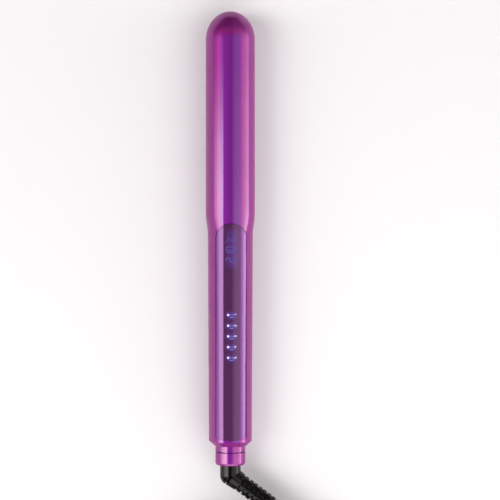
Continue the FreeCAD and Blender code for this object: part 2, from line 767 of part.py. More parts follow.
def build_hinge():
    """The root's hinge block, its screws and stub pins, and the upper arm's bracket."""
    down = Placement(Vector(), Rotation(Vector(0, 1, 0), 180))
    seat = FORM_SEAT.copy()
    seat.Placement = down
    ear_y = (at.hinge_y - at.ear_radius, at.hinge_y + at.ear_radius)
    base = block((-at.block_half_width, at.block_half_width), (at.block_back, at.block_front),
                 (-at.block_floor, at.block_top))
    parts = [base]
    for side in (-1, 1):
        ear_x = sorted((side * at.outer_ear_in, side * at.outer_ear_out))
        inner_x = sorted((side * (at.outer_ear_in - 3), side * at.outer_ear_out))
        parts.append(block(ear_x, ear_y, (-at.block_floor, 0)))
        parts.append(block(inner_x, ear_y, (-at.block_floor, at.block_top)))
    wall_y = (at.block_back, at.block_wall_front)
    wall_foot = Vector(0, wall_y[0], 0)
    wall_disc = Part.makeCylinder(at.block_wall_radius, at.block_wall, wall_foot, Vector(0, 1, 0))
    foot = block((-at.block_half_width, at.block_half_width), wall_y, (-at.block_floor, -4))
    lower = parts[0].fuse(parts[1:] + [foot]).common(seat)
    discs = []
    for side in (-1, 1):
        start = Vector(min(side * at.outer_ear_in, side * at.outer_ear_out), at.hinge_y, 0)
        thick = at.outer_ear_out - at.outer_ear_in
        discs.append(Part.makeCylinder(at.ear_radius, thick, start, Vector(1, 0, 0)))
    whole = lower.fuse(discs + [wall_disc])
    stem_hole = Part.makeCylinder(
        at.stem_radius + at.seat_gap, 3 * at.block_wall, Vector(0, wall_y[0] - 1, 0), Vector(0, 1, 0))
    side = at.hook_half_width + at.seat_gap
    slot = block((-side, side), (wall_y[0] - 1, wall_y[1] + 1),
                 (-at.hook_depth - at.seat_gap, at.hook_top + at.seat_gap))
    bore = Part.makeCylinder(at.pin_radius, 2 * REACH, Vector(-REACH, at.hinge_y, 0), Vector(1, 0, 0))
    holes = [post(x, y, -REACH, REACH, at.shank_hole_radius) for x, y in block_spots()]
    whole = whole.cut([stem_hole, slot, bore] + holes)
    node("hinge_block", shaped("hinge_block", whole))
    screws("hinge_block_screws", block_spots(), "block_floor - block_thickness - contact_gap", "lower")

    pins = []
    length = "outer_ear_out - inner_ear_in"
    for name, start in (("left", "-outer_ear_out"), ("right", "inner_ear_in")):
        pins.append(rod(f"hinge_pin_{name}", "x", (start, "hinge_y", 0), "pin_radius", length))
    node("hinge_pins", group("hinge_pins", pins))

    ears = []
    for side, sign in (("right", ""), ("left", "-")):
        low, high = (f"{sign}inner_ear_in", f"{sign}inner_ear_out")[:: 1 if not sign else -1]
        thick = "inner_ear_out - inner_ear_in"
        ears.append(rod(f"bracket_{side}_eye", "x", (low, "hinge_y", 0), "ear_radius", thick))
        heights = (0, "bracket_top")
        along = ("hinge_y - ear_radius", "hinge_y + ear_radius")
        ears.append(box(f"bracket_{side}_ear", (low, high), along, heights))
    along = ("hinge_y - ear_radius", "bracket_front")
    ears.append(box("bracket_plate", wide("inner_ear_out"), along, ("bracket_low", "bracket_top")))
    bore = rod("bracket_bore", "x", ("-2 * inner_ear_out", "hinge_y", 0), "pin_radius + pin_clearance",
               "4 * inner_ear_out")
    holes = [
        rod(f"bracket_hole_{number}", "z", (x, y, 0), "shank_hole_radius", "2 * bracket_top")
        for number, (x, y) in enumerate(bracket_spots())
    ]
    node("upper_hinge_bracket", cut("upper_hinge_bracket", fuse("bracket_solid", *ears), bore, *holes))
    screws("bracket_screws", bracket_spots(), "bracket_low - contact_gap", "upper")


def build_collar():
    """The collar ring with its neck, and the lock cup that slides on the neck."""
    pocket = "flange_radius + seat_gap"
    pocket_back = "flange_back - seat_gap"
    collar = turned("tail_collar", "y", [
        ("collar_front", pocket),
        ("collar_front", "collar_radius"),
        ("collar_back", "collar_radius"),
        ("collar_back", "neck_radius"),
        ("neck_end", "neck_radius"),
        ("neck_end", "bore_radius"),
        (pocket_back, "bore_radius"),
        (pocket_back, pocket),
    ])
    side = "hook_half_width + seat_gap"
    slot = box("collar_slot", wide(side), ("neck_end - 1", "collar_front + 1"),
               ("-hook_depth - seat_gap", "hook_top + seat_gap"))
    node("tail_collar", cut("tail_collar_slotted", collar, slot))

    bore = "neck_radius + seat_gap / 2"
    cup = turned("lock_cup_turned", "y", [
        ("cup_front", bore),
        ("cup_front", "collar_radius"),
        ("cup_end + cup_corner", "collar_radius"),
        ("cup_end + cup_corner * 0.29", "collar_radius - cup_corner * 0.29"),
        ("cup_end", "collar_radius - cup_corner"),
        ("cup_end", "barrel_radius + seat_gap"),
        ("cup_floor", "barrel_radius + seat_gap"),
        ("cup_floor", bore),
    ])
    key = box("lock_cup_key", wide("hook_half_width"), ("cup_floor + cup_corner", "cup_front + 1"),
              ("-hook_depth", "0"))
    node("lock_cup", cut("lock_cup", cup, key))

    strip = ("-hook_depth", "hook_top")
    pieces = [
        box("hook_strip", wide("hook_half_width"), ("cup_floor + cup_corner", "hook_front"), strip),
        box("hook_riser", wide("hook_half_width"), ("hook_front - hook_thickness", "hook_front"),
            ("-hook_depth", "hook_rise + hook_thickness")),
        box("hook_nose", wide("hook_half_width"), ("hook_front - nose_length", "hook_front"),
            ("hook_rise", "hook_rise + hook_thickness")),
    ]
    node("lock_hook", fuse("lock_hook", *pieces))


def build_swivel_contacts():
    """Stem and slip rings that turn with the cord, and the brushes that stay."""
    stem = rod("swivel_stem", "y", (0, "flange_front", 0), "stem_radius", "stem_length")
    node("swivel_stem", stem)
    rings = []
    for number in range(2):
        start = f"flange_front + ring_setback + {number} * ring_pitch"
        outer = rod(f"slip_ring_{number}_outer", "y", (0, start, 0), "stem_radius + ring_wall", "ring_width")
        inner = rod(f"slip_ring_{number}_inner", "y", (0, start, 0), "stem_radius", "ring_width")
        rings.append(cut(f"slip_ring_{number}", outer, inner))
    node("slip_rings", group("slip_rings", rings))

    holder_low = "hook_top + seat_gap"
    holder_top = "-stem_radius - ring_wall - seat_gap * 3"
    along = ("block_wall_front + contact_gap", "stem_front - contact_gap")
    pieces = [box("brush_holder_bar", wide("holder_half_width"), along, (holder_low, holder_top))]
    for side, sign in (("right", ""), ("left", "-")):
        inner, outer = f"{sign}(hook_half_width + seat_gap)", f"{sign}holder_half_width"
        low, high = (inner, outer) if not sign else (outer, inner)
        heights = ("block_top + contact_gap", holder_top)
        pieces.append(box(f"brush_holder_{side}_foot", (low, high), along, heights))
    node("brush_holder", fuse("brush_holder", *pieces))
    leaves = []
    inner = "stem_radius + ring_wall + brush_gap"
    outer = f"{inner} + brush_thickness"
    for number, (low, high) in enumerate(((inner, outer), (f"-({outer})", f"-({inner})"))):
        start = f"flange_front + ring_setback + {number} * ring_pitch"
        heights = (f"{holder_top} + contact_gap", "stem_radius / 2")
        leaves.append(box(f"brush_{number}", (low, high), (start, f"{start} + ring_width"), heights))
    node("contact_brushes", group("contact_brushes", leaves))


def build_board():
    """The board that hangs over the upper inner cover, and what it carries."""
    along = ("board_back", "board_front")
    board = box("board_blank", wide("board_half_width"), along, ("board_height", "board_top"))
    spots = [(f"{sign}post_out", row) for row in ("post_front", "post_back") for sign in ("-", "")]
    holes = [
        rod(f"board_hole_{number}", "z", (x, y, 0), "shank_hole_radius", "2 * board_top")
        for number, (x, y) in enumerate(spots)
    ]
    node("main_board", cut("main_board", board, *holes))
    made = []
    for number, (x, y) in enumerate(spots):
        top = "board_top + contact_gap"
        head = rod(f"board_screw_{number}_head", "z", (x, y, top), "head_radius", "head_height")
        shank = rod(f"board_screw_{number}_shank", "z", (x, y, "cover_top + 1"), "shank_radius",
                    "board_top + contact_gap - cover_top - 1")
        made.append(fuse(f"board_screw_{number}", head, shank))
    node("board_screws", group("board_screws", made))

    def on_board(label, x, y, tall):
        low = "board_top + contact_gap"
        return box(label, x, y, (low, f"{low} + {tall}"))

    display = on_board("display_module", ("-5.4", "1.9"), ("window_front - 21.5", "window_front - 2"), 2.2)
    node("display_module", display)
    lamps = [
        on_board(f"indicator_{number}", wide("3.3"), (f"({spot}) - 1.6", f"({spot}) + 1.6"), 1.6)
        for number, spot in enumerate(f"window_front - 53.8 - {step} * 6.8" for step in range(5))
    ]
    node("indicator_lamps", group("indicator_lamps", lamps))
    pads = []
    for number, y in enumerate(("window_front - 34.7", "window_front - 42.7")):
        start = (0, y, "board_top + contact_gap")
        pads.append(rod(f"touch_contact_{number}", "z", start, 2.2, 1.9))
    node("touch_contacts", group("touch_contacts", pads))
    under = "board_height - contact_gap"
    power = [
        box("relay", ("-6", "-1.5"), ("board_back + 22", "board_back + 38"), (f"{under} - 4.6", under)),
        box("capacitor", ("1.5", "6"), ("board_back + 22", "board_back + 35"), (f"{under} - 4.6", under)),
        box("triac", ("-4.5", "4.5"), ("board_back + 44", "board_back + 54"), (f"{under} - 2.4", under)),
        box("control_chip", ("-3", "3"), ("board_back + 64", "board_back + 74"), (f"{under} - 1.2", under)),
    ]
    node("power_parts", group("power_parts", power))


def biarc(start, start_way, end, end_way):
    """Two arcs that leave start and reach end along the given ways, meeting with one tangent."""
    across = end - start
    ways = start_way + end_way
    twist = 2 * (1 - start_way.dot(end_way))
    reach = (-across.dot(ways) + math.sqrt(across.dot(ways) ** 2 + twist * across.dot(across))) / twist
    corners = start + start_way * reach, end - end_way * reach
    joint = (corners[0] + corners[1]) * 0.5
    edges = []
    for first, corner, second in ((start, corners[0], joint), (joint, corners[1], end)):
        cosine = (corner - first).normalize().dot((second - corner).normalize())
        half = math.acos(max(-1.0, min(1.0, cosine))) / 2
        bend = reach / math.tan(half)
        inward = ((first + second) * 0.5 - corner).normalize()
        edges.append(Part.Arc(first, corner + inward * (bend / math.cos(half) - bend), second).toShape())
    return edges


def wound(place, turns, radius, lead=0.0):
    """A tube on biarcs of a quarter turn through place(turn), with a straight lead at both ends."""
    knots = [turns * number / math.ceil(4 * turns) for number in range(math.ceil(4 * turns) + 1)]
    edges = []
    for low, high in zip(knots, knots[1:]):
        edges += biarc(place(low), toward(place, low), place(high), toward(place, high))
    first, last = place(0), place(turns)
    if lead:
        edges.insert(0, Part.LineSegment(first - toward(place, 0) * lead, first).toShape())
        edges.append(Part.LineSegment(last, last + toward(place, turns) * lead).toShape())
    path = Part.Wire(edges)
    start = first - toward(place, 0) * lead
    ring = Part.Wire(Part.makeCircle(radius, start, toward(place, 0)))
    solid = path.makePipeShell([ring], True, False)
    return solid, path


def least_gap(path, radius, turn_length):
    """The least distance between a wound tube's own turns, measured on points along its path."""
    points = path.discretize(Distance=4)
    apart = int(turn_length / 4 * 0.6)
    least = math.inf
    for number, point in enumerate(points):
        for other in points[number + apart:]:
            least = min(least, point.distanceToPoint(other))
    return least - 2 * radius


def build_spring():
    """The opening spring between the pockets of the two inner covers."""
    half = at.half_gap + at.pocket_depth - at.seat_gap - at.spring_wire

    def place(turn):
        angle = 2 * math.pi * turn
        x = at.spring_radius * math.cos(angle)
        y = at.spring_y + at.spring_radius * math.sin(angle)
        return Vector(x, y, -half + 2 * half * turn / at.spring_turns)

    solid, path = wound(place, at.spring_turns, at.spring_wire)
    node("opening_spring", shaped("opening_spring", solid))
    rise = 2 * half / at.spring_turns
    print(f"opening spring: gap between turns {rise - 2 * at.spring_wire:.2f}")


def build_hinge_sleeve():
    """The sleeved wires that cross from the brush holder to the board beside the hinge."""
    x = at.sleeve_out
    back = at.stem_front + SLEEVE_LEAD
    low = (at.block_top + HOLDER_TOP) / 2 + 0.1
    high = at.bracket_low - at.head_height - at.sleeve_radius - 2 * at.contact_gap
    front = at.board_back + 1.6 * at.sleeve_radius
    route = [(x, at.stem_front, low), (x, back, low), (x, back, high), (x, front, high)]
    route.append((x, front, at.board_height - at.contact_gap))
    node("hinge_wires", shaped("hinge_wires", tube(route, at.sleeve_radius)))


def boot_frame():
    """The elbow's end and the way that the boot points, in the arm frame."""
    turn = math.radians(at.elbow_angle)
    way = Vector(math.sin(turn), -math.cos(turn), 0)
    return Vector(0, at.elbow_corner, 0) + way * at.elbow_reach, way


def build_strain_relief():
    """Flange, journal and barrel in the collar, the elbow round its corner, and the segmented boot."""
    ahead = Vector(0, -1, 0)

    def turned_stretch(start, end, radius):
        return Part.makeCylinder(radius, start - end, Vector(0, start, 0), ahead)

    shoulder = at.neck_end - at.seat_gap
    pieces = [
        turned_stretch(at.flange_front, at.flange_back, at.flange_radius),
        turned_stretch(at.flange_back, shoulder, at.journal_radius),
        turned_stretch(shoulder, at.elbow_corner, at.barrel_radius),
    ]
    end, way = boot_frame()
    corner = Vector(0, at.elbow_corner, 0)
    pieces.append(Part.makeSphere(at.barrel_radius, corner))
    pieces.append(Part.makeCone(at.barrel_radius, at.elbow_end_radius, at.elbow_reach, corner, way))
    pieces.append(Part.makeCylinder(at.boot_core, at.boot_length, end, way))
    count = int((at.boot_length - 1) / at.rib_pitch)
    for number in range(count):
        along = at.rib_pitch - at.rib_thickness + number * at.rib_pitch
        beyond = max(0.0, (along - at.boot_length / 2) / (at.boot_length / 2))
        radius = at.boot_rib_radius + (at.boot_end_radius - at.boot_rib_radius) * beyond
        pieces.append(Part.makeCylinder(radius, at.rib_thickness, end + way * along, way))
        half = radius - at.web_inset
        web = Part.makeBox(at.rib_pitch, 2 * half, at.web_width, Vector(0, -half, -at.web_width / 2))
        lean = Rotation(way, 45 if number % 2 else -45)
        spot = end + way * (along - at.rib_pitch / 2)
        web.Placement = Placement(spot, lean.multiply(Rotation(Vector(1, 0, 0), way)))
        pieces.append(web)
    boot = pieces[0].fuse(pieces[1:]).removeSplitter()
    node("strain_relief", shaped("strain_relief", boot))


COIL_TURNS = 7.625


def coil_place(turn):
    """The coil's line: four layers that spiral in and out, each climb in the half turn between."""
    inner, outer, step = at.coil_inner, at.coil_outer, at.coil_step
    layer, inside = divmod(turn, 2.0)
    layer = int(layer)
    if turn >= 6.0:
        layer, inside = 3, turn - 6.0
    spiral = inside if layer == 3 else min(inside, 1.5)
    radius = outer - step * spiral if layer % 2 == 0 else inner + step * spiral
    climb = 0.0
    if layer < 3 and inside > 1.5:
        climb = (1 - math.cos(math.pi * (inside - 1.5) / 0.5)) / 2
    angle = math.radians(at.coil_start_angle) - 2 * math.pi * turn
    height = at.coil_low + step * (layer + climb)
    return Vector(at.coil_x + radius * math.cos(angle), at.coil_y + radius * math.sin(angle), height)


def toward(place, turn):
    step = 1e-5
    return (place(turn + step) - place(turn - step)).normalize()


def cord_out():
    """From the boot's end, down to the surface and into the coil's first turn."""
    end, way = boot_frame()
    start = end + way * at.boot_length + Vector(0, 0, at.arm_height)
    meet = coil_place(0) - toward(coil_place, 0) * 2 * at.cord_radius
    approach = meet - toward(coil_place, 0) * 15.5
    level = at.coil_low
    bends = [
        start + way * 16,
        Vector(start.x + 20.0, start.y - 23.9, level + 6.5),
        Vector(start.x + 20.0, start.y - 41.2, level + 1.5),
    ]
    return [start] + bends + [approach, meet]


def cord_back():
    """From the coil's last turn, rising through a half circle to the plug's relief."""
    way = toward(coil_place, COIL_TURNS)
    inward = Vector(way.y, -way.x, 0)
    meet = coil_place(COIL_TURNS) + way * 2 * at.cord_radius
    radius = at.plug_loop_radius
    centre = meet + way * at.plug_loop_lead + inward * radius
    rise = at.cord_radius + at.plug_half_height + at.seat_gap
    route = [meet]
    reach = radius / math.cos(math.radians(15))
    for step, share in enumerate((0, 0.12, 0.38, 0.68, 0.9, 1)):
        angle = math.radians(75 - 30 * step)
        spot = centre + (way * math.cos(angle) - inward * math.sin(angle)) * reach
        route.append(spot + Vector(0, 0, rise * share))
    return route + [centre - way * at.plug_loop_lead + inward * radius + Vector(0, 0, rise)]


def build_cord():
    run = tube(cord_out(), at.cord_radius, report="cord run")
    grounded("cord_run", shaped("cord_run", run))
    tail = tube(cord_back(), at.cord_radius, report="cord tail")
    grounded("cord_tail", shaped("cord_tail", tail))
    solid, path = wound(coil_place, COIL_TURNS, at.cord_radius, 2 * at.cord_radius)
    grounded("cord_coil", shaped("cord_coil", solid))
    print(f"cord coil: length {path.Length:.1f}, volume {solid.Volume:.0f}")
    print(f"cord coil: exact volume {math.pi * at.cord_radius ** 2 * path.Length:.0f}")
    print(f"cord coil: least gap {least_gap(path, at.cord_radius, 2 * math.pi * at.coil_inner):.2f}")


def rounded(shape, radius, along):
    """The shape with its edges along one axis rounded."""
    def runs_along(edge):
        run = edge.Vertexes[1].Point - edge.Vertexes[0].Point
        return abs(run.normalize().dot(along)) > 0.99

    return shape.makeFillet(radius, [edge for edge in shape.Edges if runs_along(edge)])


def build_tie():
    """The tie: a flat band round the coil's bundle."""
    thick = at.tie_thickness
    low = at.coil_inner - at.cord_radius - at.seat_gap
    high = at.coil_outer + at.cord_radius + at.seat_gap
    floor = at.contact_gap
    top = at.coil_low + 3 * at.coil_step + at.cord_radius + at.seat_gap
    half = at.tie_width / 2
    band = block((low - thick, high + thick), (-half, half), (floor, top + thick))
    hole = block((low, high), (-half, half), (floor + thick, top))
    round_inside = at.cord_radius
    along = Vector(0, 1, 0)
    tie = rounded(band, round_inside + thick, along).cut(rounded(hole, round_inside, along))
    tie.Placement = Placement(Vector(at.coil_x, at.coil_y, 0), Rotation(Vector(0, 0, 1), at.tie_angle))
    grounded("cord_tie", shaped("cord_tie", tie))


def build_plug():
    """The plug lies on the coil; its relief meets the cord's end. Drawn along +X from that end."""
    route = cord_back()
    way = (route[-1] - route[-2]).normalize()
    spot = Placement(route[-1], Rotation(Vector(1, 0, 0), way))
    along = Vector(1, 0, 0)
    relief = Part.makeCone(at.cord_radius + 1, at.cord_radius + 3, at.plug_relief, Vector(), along)
    front, back = at.plug_relief, at.plug_relief + at.plug_length
    body = block((front, back), (-at.plug_half_width, at.plug_half_width),
                 (-at.plug_half_height, at.plug_half_height))
    body = rounded(body, 3.5, along)
    shoulder = [edge for edge in body.Edges if all(abs(v.X - front) < 0.01 for v in edge.Vertexes)]
    body = relief.fuse(body.makeFillet(3.0, shoulder)).removeSplitter()
    body.Placement = spot
    grounded("plug_body", shaped("plug_body", body))
    blades = []
    for side in (-at.blade_out, at.blade_out):
        across = (side - at.blade_thickness / 2, side + at.blade_thickness / 2)
        tall = (-at.blade_half_height, at.blade_half_height)
        blades.append(block((back, back + at.blade_length), across, tall))
    pair = Part.Compound(blades)
    pair.Placement = spot
    grounded("plug_blades", shaped("plug_blades", pair))


build_shells()
for arm in ("upper", "lower"):
    build_inner_cover(arm)
    build_plate_frame(arm)
    build_crimp_plate(arm)
    build_heater(arm)
    build_wires(arm)
build_hinge()
build_collar()
build_swivel_contacts()
build_board()
build_spring()
build_hinge_sleeve()
build_strain_relief()
build_cord()
build_tie()
build_plug()
doc.recompute()

failed = [thing.Name for thing in doc.Objects if {"Invalid", "Error"} & set(thing.State)]
for name, made in NODES.items():
    if made.Shape.isNull() or not made.Shape.isValid() or not made.Shape.Solids:
        failed.append(name)
if failed:
    raise RuntimeError("these pieces failed: " + ", ".join(failed))
os.makedirs("parts", exist_ok=True)
for name, made in NODES.items():
    made.Shape.exportStep(f"parts/{name}.step")
print(f"{len(NODES)} nodes written")
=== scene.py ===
"""A slim hair crimper in metallised purple, lying closed and seen from above in a soft white studio."""

import math

import bpy
import numpy as np
from mathutils import Matrix, Vector


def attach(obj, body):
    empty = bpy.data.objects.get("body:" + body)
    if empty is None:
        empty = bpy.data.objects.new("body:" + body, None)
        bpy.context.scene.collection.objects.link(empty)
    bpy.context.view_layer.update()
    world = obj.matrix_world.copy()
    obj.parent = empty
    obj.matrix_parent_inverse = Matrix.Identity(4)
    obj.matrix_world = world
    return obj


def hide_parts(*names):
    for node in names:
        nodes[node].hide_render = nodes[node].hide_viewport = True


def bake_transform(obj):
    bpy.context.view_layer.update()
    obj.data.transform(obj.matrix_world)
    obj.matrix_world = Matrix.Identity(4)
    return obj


MM = 0.001
AXIS = 14.5  # height of the tool's long axis, in millimetres

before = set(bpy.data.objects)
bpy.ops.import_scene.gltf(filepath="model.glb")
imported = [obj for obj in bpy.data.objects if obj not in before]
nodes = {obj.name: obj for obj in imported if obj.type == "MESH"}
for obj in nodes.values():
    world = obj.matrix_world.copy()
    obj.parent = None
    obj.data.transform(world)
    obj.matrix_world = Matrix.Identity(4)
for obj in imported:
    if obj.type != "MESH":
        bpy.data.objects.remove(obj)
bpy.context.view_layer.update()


# Camera: over the tool and three degrees to its left, with a long lens at about a metre

def look(spot, aim, lens):
    """Camera turned so that its view runs from spot to aim with the tool's length upright."""
    data = bpy.data.cameras.new("camera")
    data.lens, data.sensor_width, data.clip_end = lens, 36, 20
    made = bpy.data.objects.new("camera", data)
    bpy.context.collection.objects.link(made)
    sight = (aim - spot).normalized()
    right = sight.cross(Vector((0, 1, 0))).normalized()
    turn = Matrix((right, right.cross(sight), -sight)).transposed()
    made.matrix_world = Matrix.Translation(spot) @ turn.to_4x4()
    bpy.context.scene.camera = made


CAMERA_SPOT = Vector((-0.038, -0.0075, 0.978))
CAMERA_AIM = Vector((0.0125, -0.0075, AXIS * MM))
FOCAL_LENGTH = 109.2
look(CAMERA_SPOT, CAMERA_AIM, FOCAL_LENGTH)
bpy.context.scene.view_settings.view_transform = "Standard"


# The free cord: out of the boot, down to the surface, round the put-away coil and over it to the plug

CORD_THICK = 6.0
BOOT_END = np.array([39.643, -180.33, 14.5])
BOOT_WAY = np.array([0.8, -0.6, 0.0])
COIL_CENTRE = np.array([11.8, -223.1])
COIL_TURNS, COIL_STEP, COIL_LOW = 7.625, 7.4, 3.9
COIL_INNER, COIL_OUTER = 27.1, 38.2
COIL_START = -45  # degrees
COIL_POINTS = 184  # 24 on each turn and one at the end

# Straight out of the boot for BOOT_LEAD, then by two bends down to the surface
BOOT_LEAD = 16.0
BENDS_DOWN = [(59.643, -204.23, 10.4), (59.643, -221.53, 5.4)]
COIL_APPROACH = 15.5

# The half turn over the coil to the plug: its radius, the straight stretch before and after it, how far it
# climbs, and for each control point its angle in degrees and its share of the climb
OVER_RADIUS, OVER_LEAD, OVER_CLIMB = 33, 7, 10.8
OVER_POINTS = [(75, 0), (45, 0.12), (15, 0.38), (-15, 0.68), (-45, 0.9), (-75, 1)]


def coil_place(turn):
    """Point of the coil after that many turns clockwise.

    Layers of two turns lie on each other. The radius falls by one step per turn in an even layer and
    grows by one in an odd layer, for a turn and a half; in the last half turn it stays and the cord
    climbs to the next layer, eased by half a cosine.
    """
    turn = np.asarray(turn, dtype=float)
    layer = np.minimum(np.floor(turn / 2), 3)
    inside = turn - 2 * layer
    spiral = np.where(layer == 3, inside, np.minimum(inside, 1.5))
    radius = np.where(layer % 2 == 0, COIL_OUTER - COIL_STEP * spiral, COIL_INNER + COIL_STEP * spiral)
    climb = np.where(layer == 3, 0, (1 - np.cos(np.pi * np.clip(2 * inside - 3, 0, 1))) / 2)
    angle = np.radians(COIL_START) - 2 * np.pi * turn
    x = COIL_CENTRE[0] + radius * np.cos(angle)
    y = COIL_CENTRE[1] + radius * np.sin(angle)
    return np.stack([x, y, COIL_LOW + COIL_STEP * (layer + climb)], axis=-1)


def heading(turn, side):
    """Direction away from the coil at one of its ends, from a short chord on its inner side."""
    chord = coil_place(turn) - coil_place(turn + side * 0.001)
    return chord / np.linalg.norm(chord)


def cord_line():
    """Control points of the whole cord, in millimetres."""
    first, last = -heading(0.0, 1), heading(COIL_TURNS, -1)
    meet = coil_place(0.0) - first * CORD_THICK
    run = [BOOT_END, BOOT_END + BOOT_WAY * BOOT_LEAD, *BENDS_DOWN, meet - first * COIL_APPROACH, meet]
    coil = coil_place(np.linspace(0, COIL_TURNS, COIL_POINTS))
    leave = coil_place(COIL_TURNS) + last * CORD_THICK
    inward = np.array([last[1], -last[0], 0])
    middle = leave + last * OVER_LEAD + inward * OVER_RADIUS
    rise = np.array([0, 0, OVER_CLIMB])
    # The control points stand 30 degrees apart and a little outside the arc, so that the curve keeps to it
    reach = OVER_RADIUS / math.cos(math.radians(15))
    over = []
    for angle, share in OVER_POINTS:
        turn = math.radians(angle)
        out = last * math.cos(turn) - inward * math.sin(turn)
        over.append(middle + reach * out + rise * share)
    end = middle - last * OVER_LEAD + inward * OVER_RADIUS + rise
    return np.array([*run, *coil, leave, *over, end])


def spline_cord(name, points, thick):
    """A round cord along one open curve of the third order that starts and ends in its end points.

    The bevel is one metre deep and each point's radius, half the cord's thickness, scales it.
    """
    curve = bpy.data.curves.new(name, "CURVE")
    curve.dimensions = "3D"
    line = curve.splines.new("NURBS")
    line.points.add(len(points) - 1)
    line.points.foreach_set("co", np.column_stack([points * MM, np.ones(len(points))]).ravel())
    line.points.foreach_set("radius", np.full(len(points), thick * MM / 2))
    line.order_u = 3
    line.use_endpoint_u = True
    line.resolution_u = 4
    curve.bevel_depth = 1.0
    curve.bevel_resolution = 6
    curve.use_fill_caps = True
    made = bpy.data.objects.new(name, curve)
    bpy.context.collection.objects.link(made)
    return made


cord = spline_cord("mains_cord", cord_line(), CORD_THICK)
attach(cord, "swivel")
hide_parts("cord_run", "cord_coil", "cord_tail")


# Sizes of the lens and its lamps, in millimetres; along the tool the tip is at +144

LENS_TOP, LENS_HALF, LENS_ARCH_Y = AXIS + 14.3, 9.85, -0.86
# The dark line along the lens's edge is painted shade of the gap round the lens
LENS_GAP_SHADE = (LENS_HALF - 0.4, LENS_HALF - 0.15)  # where the edge's dark line begins and is full
READ_OUT, READ_OUT_X = (-15.3, 1.6), 0.6
MARKS_START, MARK_STEP, MARKS = -48.2, 6.7, 5
MARKS_ACROSS = (-1.9, 1.6)
LIT_TILE, FAINT_TILE = 0.03, 0.02

# Reach of the light round the lamps, in millimetres, and its strength
READ_OUT_REACH, READ_OUT_POWER = 6.5, 0.16
MARK_REACH, MARK_POWER = 3.4, 0.22


# Shaders

def linear(code):
    """Linear colour of an sRGB hex code: c / 12.92 below 0.04045, else ((c + 0.055) / 1.055) to the 2.4."""
    part = np.array([int(code[i:i + 2], 16) / 255 for i in (1, 3, 5)])
    straight = np.where(part <= 0.04045, part / 12.92, ((part + 0.055) / 1.055) ** 2.4)
    return [*straight.tolist(), 1.0]


def add(tree, kind, sockets=None, **settings):
    """Adds a node; each of its sockets takes a number, a colour or another node's output."""
    made = tree.nodes.new("ShaderNode" + kind)
    for name, value in settings.items():
        setattr(made, name, value)
    for name, value in (sockets or {}).items():
        socket = made.inputs[name]
        if isinstance(value, bpy.types.NodeSocket):
            tree.links.new(value, socket)
        else:
            socket.default_value = value
    return made


def start(name, **constants):
    """A material with its shader, whose constants are set on the shader's own sockets."""
    made = bpy.data.materials.new(name)
    made.use_nodes = True
    tree = made.node_tree
    shader = tree.nodes["Principled BSDF"]
    for key, value in constants.items():
        if isinstance(value, str):
            value = linear(value)
        shader.inputs[key.replace("_", " ")].default_value = value
    return made, tree, shader


def place(tree, stretch=(1, 1, 1)):
    """Object coordinates in millimetres, each axis stretched."""
    spot = add(tree, "TexCoord").outputs["Object"]
    scale = tuple(1000 * part for part in stretch)
    return add(tree, "Mapping", {"Vector": spot, "Scale": scale}).outputs["Vector"]


def noise(tree, size, detail=2.0, rough=0.5, stretch=(1, 1, 1)):
    """Noise from 0 to 1 whose lumps are that many millimetres across."""
    made = add(tree, "TexNoise", {"Vector": place(tree, stretch), "Scale": 1 / size, "Detail": detail,
                                  "Roughness": rough})
    return made.outputs["Fac"]


def between(tree, value, low, high, start_at=0.3, end_at=0.7):
    """Value from start_at to end_at spread over low to high."""
    made = add(tree, "MapRange", {"Value": value, "From Min": start_at, "From Max": end_at, "To Min": low,
                                  "To Max": high})
    return made.outputs["Result"]


def blend(tree, share, one, two):
    """Colour between two, given as hex codes or outputs."""
    made = add(tree, "Mix", {"Factor": share}, data_type="RGBA")
    for socket, value in ((made.inputs[6], one), (made.inputs[7], two)):
        if isinstance(value, str):
            socket.default_value = linear(value)
        else:
            tree.links.new(value, socket)
    return made.outputs[2]


def finish(name, light, dark, rough, patch, grain, depth, stretch=(1, 1, 1), **constants):
    """A plain finish: two near tones in patches, uneven sheen and, with a depth in mm, a fine grain.

    The patches and the grain are sizes in millimetres.
    """
    made, tree, shader = start(name, **constants)
    tone = noise(tree, patch, 4.0, 0.6, stretch)
    tree.links.new(blend(tree, between(tree, tone, 0, 1), light, dark), shader.inputs["Base Color"])
    sheen = noise(tree, patch * 0.35, 3.0, 0.55, stretch)
    tree.links.new(between(tree, sheen, *rough), shader.inputs["Roughness"])
    if depth:
        height = noise(tree, grain, 2.0, 0.5, stretch)
        bump = add(tree, "Bump", {"Height": height, "Distance": depth * MM})
        tree.links.new(bump.outputs["Normal"], shader.inputs["Normal"])
    return made


def ramp(tree, value, stops):
    """Colour along a row of stops, each a place from 0 to 1 and a hex code."""
    made = add(tree, "ValToRGB", {"Fac": value})
    row = made.color_ramp.elements
    while len(row) < len(stops):
        row.new(1.0)
    for element, (spot, code) in zip(row, stops):
        element.position, element.color = spot, linear(code)
    return made.outputs["Color"]


CROWN_HALF = 10.5


def moulded(tree, dome, ripple):
    """Normal of a moulding: a crown domed by that many mm over its middle, and a long faint ripple.

    Without it the flat crown would mirror one even tone; with it the reflections roll off to both sides.
    """
    spot = add(tree, "SeparateXYZ", {"Vector": place(tree)}).outputs["X"]
    off = add(tree, "Math", {0: spot}, operation="ABSOLUTE").outputs[0]
    rise = add(tree, "MapRange", {"Value": off, "From Max": CROWN_HALF, "To Min": 1.0, "To Max": 0.0},
               interpolation_type="SMOOTHSTEP").outputs["Result"]
    crown = add(tree, "Bump", {"Height": rise, "Distance": dome * MM}).outputs["Normal"]
    wave = noise(tree, 16.0, 1.0, 0.4, (1, 0.2, 1))
    return add(tree, "Bump", {"Height": wave, "Distance": ripple * MM, "Normal": crown}).outputs["Normal"]


